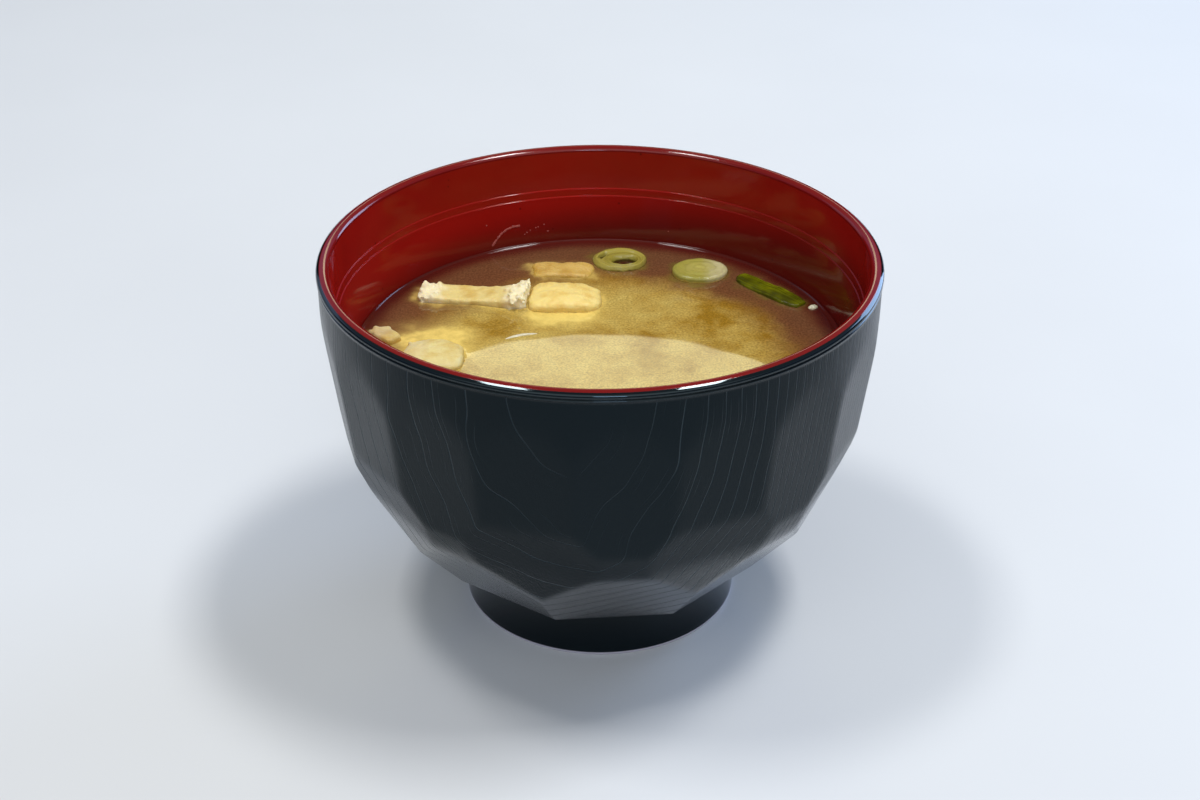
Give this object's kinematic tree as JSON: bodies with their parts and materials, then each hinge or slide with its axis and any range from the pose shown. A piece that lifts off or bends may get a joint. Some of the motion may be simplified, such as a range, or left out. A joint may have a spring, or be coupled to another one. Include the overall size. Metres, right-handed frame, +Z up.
{
  "type": "miso soup",
  "caption": "Bowl of miso soup: a faceted black soup bowl with a red inside, filled with cloudy soup, fried tofu strips and spring onion slices.",
  "frame": {"origin": "centre of the foot's underside, on the surface that the bowl stands on", "axes": "+Z up along the bowl's axis, -Y towards the front, +X to the right"},
  "size_m": [0.1098, 0.1098, 0.0759],
  "materials": {
    "black_lacquer": "black lacquered resin with a moulded wood grain outside, smooth glossy deep red inside and on the lip",
    "miso_soup": "cloudy golden soup with a wet, glossy surface, clearer and redder towards the wall",
    "fried_tofu": "moist pale golden tofu skin with a white, frayed inside at the cut ends",
    "pale_onion": "moist translucent pale green slice with fine layers",
    "green_onion": "moist bright green leaf"
  },
  "bodies": {
    "root": {"bowl": "black_lacquer", "soup": "miso_soup", "tofu_strip": "fried_tofu", "tofu_fold": "fried_tofu", "tofu_back": "fried_tofu", "tofu_side": "fried_tofu", "tofu_front": "fried_tofu", "onion_ring": "pale_onion", "onion_disc": "pale_onion", "onion_leaf": "green_onion"}
  },
  "joints": []
}
